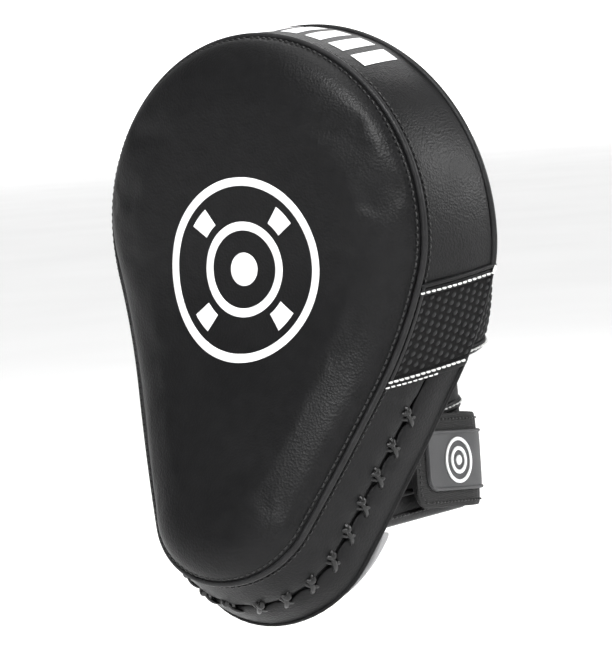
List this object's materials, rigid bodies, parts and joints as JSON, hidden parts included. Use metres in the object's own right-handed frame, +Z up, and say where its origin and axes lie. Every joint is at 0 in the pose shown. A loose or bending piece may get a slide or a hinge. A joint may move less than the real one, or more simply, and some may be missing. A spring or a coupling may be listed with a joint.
{
  "type": "focus mitt",
  "caption": "Curved egg-shaped punching pad worn on the hand, with a crowned leather face, mesh sides, laced gusset, finger hood and a wrist strap closed by hook and loop.",
  "frame": {"origin": "where the palm rests: on the flat back of the pad, at the middle of its bend", "axes": "+Z up along the fingers, -Y the side that is struck, +X the side where the strap closes"},
  "size_m": [0.195, 0.1529, 0.2697],
  "materials": {
    "black_leather": "fine-grained, semi-matte",
    "black_trim": "smooth binding, satin",
    "dark_mesh": "raised diamond mesh",
    "foam": "closed-cell foam, inside",
    "grey_suede": "brushed suede",
    "lining": "woven lining",
    "lace": "round waxed lace, glossy",
    "webbing": "woven strap",
    "hook_loop": "hook and loop",
    "patch_rubber": "matte moulded patch",
    "emblem_white": "raised white print"
  },
  "bodies": {
    "mitt": {"face_cover": "black_leather", "strike_foam": "foam", "core_foam": "foam", "back_foam": "foam", "back_panel": "grey_suede", "upper_gusset": "black_leather", "mesh_gusset_right": "dark_mesh", "mesh_gusset_left": "dark_mesh", "lower_gusset_front": "black_leather", "lower_gusset_rear": "black_leather", "face_piping": "black_trim", "rear_piping": "black_trim", "lace_cord": "lace", "heel_pad": "grey_suede", "palm_ball": "foam", "palm_ball_cover": "black_leather", "finger_hood": "black_leather", "hood_mesh": "dark_mesh", "hood_hem": "black_trim", "hood_lining": "lining", "cuff": "black_leather", "cuff_hem": "black_trim", "cuff_band": "black_trim", "loop_pad": "hook_loop", "strap_root": "webbing"},
    "strap": {"wrist_strap": "webbing"},
    "tab": {"strap_tab": "webbing", "hook_pad": "hook_loop", "strap_patch": "patch_rubber", "patch_emblem": "emblem_white"}
  },
  "joints": [
    {"name": "strap_open", "type": "hinge", "parent": "mitt", "child": "strap", "pos_m": [-0.0332, 0.0502, -0.08], "axis": [0, 0, 1], "range_deg": [0, 100]},
    {"name": "tab_peel", "type": "hinge", "parent": "strap", "child": "tab", "pos_m": [0.0332, 0.0502, -0.08], "axis": [0, 0, 1], "range_deg": [0, 80]}
  ]
}
